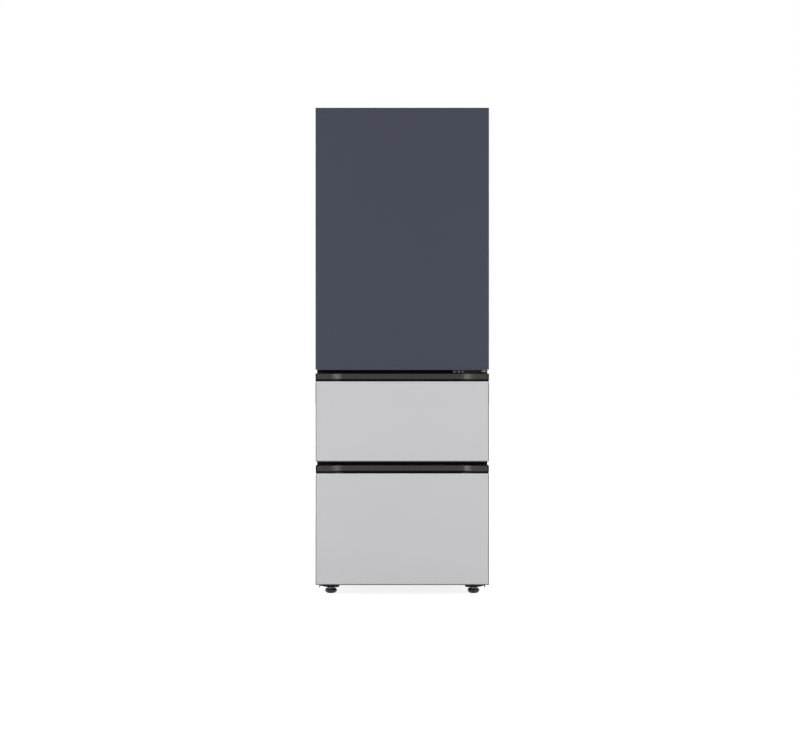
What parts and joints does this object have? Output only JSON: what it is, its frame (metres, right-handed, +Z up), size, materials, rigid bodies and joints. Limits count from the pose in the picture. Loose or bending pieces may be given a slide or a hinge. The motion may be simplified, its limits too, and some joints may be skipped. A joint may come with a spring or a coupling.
{
  "type": "kimchi refrigerator",
  "caption": "Stand-type kimchi refrigerator: hinged upper door over stacked pull-out drawers with recessed handle trims, on levelling feet and rear rollers.",
  "frame": {"origin": "middle of the footprint, on the floor that the feet stand on", "axes": "+Z up, +Y to the back, +X across the front to the right as seen by someone facing the door"},
  "size_m": [0.66, 0.73, 1.86],
  "materials": {
    "navy_panel": "satin",
    "grey_panel": "satin",
    "edge_frame": "satin",
    "handle_trim": "satin",
    "case_sheet": "satin",
    "black_frame": "satin",
    "white_liner": "satin",
    "foam": "matte",
    "zinc_sheet": "satin",
    "slide_steel": "satin",
    "gasket": "matte",
    "black_plastic": "satin",
    "shelf_glass": "gloss",
    "bin_plastic": "gloss",
    "gear_plastic": "satin",
    "basket_plastic": "satin",
    "container_plastic": "satin",
    "compressor_paint": "satin",
    "copper_tube": "satin",
    "foot_plastic": "matte"
  },
  "bodies": {
    "cabinet": {"outer_case": "case_sheet", "insulation_foam": "foam", "upper_liner": "white_liner", "middle_liner": "white_liner", "lower_liner": "white_liner", "front_frame": "black_frame", "back_panel": "zinc_sheet", "base_pan": "black_frame", "glass_shelf_1": "shelf_glass", "glass_shelf_2": "shelf_glass", "glass_shelf_3": "shelf_glass", "air_duct_cover": "white_liner", "control_panel": "black_plastic", "top_hinge": "zinc_sheet", "top_hinge_cover": "black_plastic", "middle_hinge": "zinc_sheet", "compressor": "compressor_paint", "condenser_coil": "copper_tube", "fan_shroud": "black_plastic", "machine_room_cover": "zinc_sheet", "cord_gland": "black_plastic", "middle_slide_left": "slide_steel", "middle_slide_right": "slide_steel", "lower_slide_left": "slide_steel", "lower_slide_right": "slide_steel"},
    "upper_door": {"door_casing": "edge_frame", "door_panel": "navy_panel", "door_liner": "white_liner", "door_gasket": "gasket", "door_bin_1": "bin_plastic", "door_bin_2": "bin_plastic", "door_bin_3": "bin_plastic"},
    "middle_drawer": {"middle_casing": "edge_frame", "middle_panel": "grey_panel", "middle_front_liner": "white_liner", "middle_handle_trim": "handle_trim", "middle_gasket": "gasket", "middle_basket": "basket_plastic", "middle_runner_left": "slide_steel", "middle_runner_right": "slide_steel"},
    "lower_drawer": {"lower_casing": "edge_frame", "lower_panel": "grey_panel", "lower_front_liner": "white_liner", "lower_handle_trim": "handle_trim", "lower_gasket": "gasket", "lower_basket": "basket_plastic", "lower_runner_left": "slide_steel", "lower_runner_right": "slide_steel", "container_left": "container_plastic", "container_right": "container_plastic"},
    "middle_carriages": {"middle_carriage_left": "slide_steel", "middle_carriage_right": "slide_steel"},
    "lower_carriages": {"lower_carriage_left": "slide_steel", "lower_carriage_right": "slide_steel"},
    "lower_sync_shaft": {"lower_sync_shaft": "gear_plastic"},
    "condenser_fan": {"condenser_fan": "black_plastic"},
    "foot_left": {"foot_left": "foot_plastic"},
    "foot_right": {"foot_right": "foot_plastic"},
    "roller_left": {"roller_left": "foot_plastic"},
    "roller_right": {"roller_right": "foot_plastic"}
  },
  "joints": [
    {"name": "upper_door_hinge", "type": "hinge", "parent": "cabinet", "child": "upper_door", "pos_m": [0.31, -0.334, 1.35], "axis": [0, 0, 1], "range_deg": [0, 110]},
    {"name": "middle_drawer_slide", "type": "slide", "parent": "cabinet", "child": "middle_drawer", "axis": [0, -1, 0], "range_m": [0, 0.4]},
    {"name": "lower_drawer_slide", "type": "slide", "parent": "cabinet", "child": "lower_drawer", "axis": [0, -1, 0], "range_m": [0, 0.4]},
    {"name": "middle_carriage_slide", "type": "slide", "parent": "cabinet", "child": "middle_carriages", "axis": [0, -1, 0], "range_m": [0, 0.2]},
    {"name": "lower_carriage_slide", "type": "slide", "parent": "cabinet", "child": "lower_carriages", "axis": [0, -1, 0], "range_m": [0, 0.2]},
    {"name": "lower_sync_spin", "type": "hinge", "parent": "lower_drawer", "child": "lower_sync_shaft", "pos_m": [0, 0.139, 0.425], "axis": [1, 0, 0], "range_deg": [0, 1280]},
    {"name": "condenser_fan_spin", "type": "hinge", "parent": "cabinet", "child": "condenser_fan", "pos_m": [-0.0551, 0.258, 0.1028], "axis": [0, 1, 0], "continuous": true},
    {"name": "foot_left_turn", "type": "hinge", "parent": "cabinet", "child": "foot_left", "pos_m": [-0.276, -0.25, 0.02], "axis": [0, 0, 1], "continuous": true},
    {"name": "foot_right_turn", "type": "hinge", "parent": "cabinet", "child": "foot_right", "pos_m": [0.276, -0.25, 0.02], "axis": [0, 0, 1], "continuous": true},
    {"name": "roller_left_spin", "type": "hinge", "parent": "cabinet", "child": "roller_left", "pos_m": [-0.27, 0.313, 0.015], "axis": [1, 0, 0], "continuous": true},
    {"name": "roller_right_spin", "type": "hinge", "parent": "cabinet", "child": "roller_right", "pos_m": [0.27, 0.313, 0.015], "axis": [1, 0, 0], "continuous": true}
  ],
  "couplings": [
    {"joint": "middle_carriage_slide", "follows": "middle_drawer_slide", "ratio": 0.5},
    {"joint": "lower_carriage_slide", "follows": "lower_drawer_slide", "ratio": 0.5},
    {"joint": "lower_sync_spin", "follows": "lower_drawer_slide", "rad_per_m": 55.556}
  ]
}
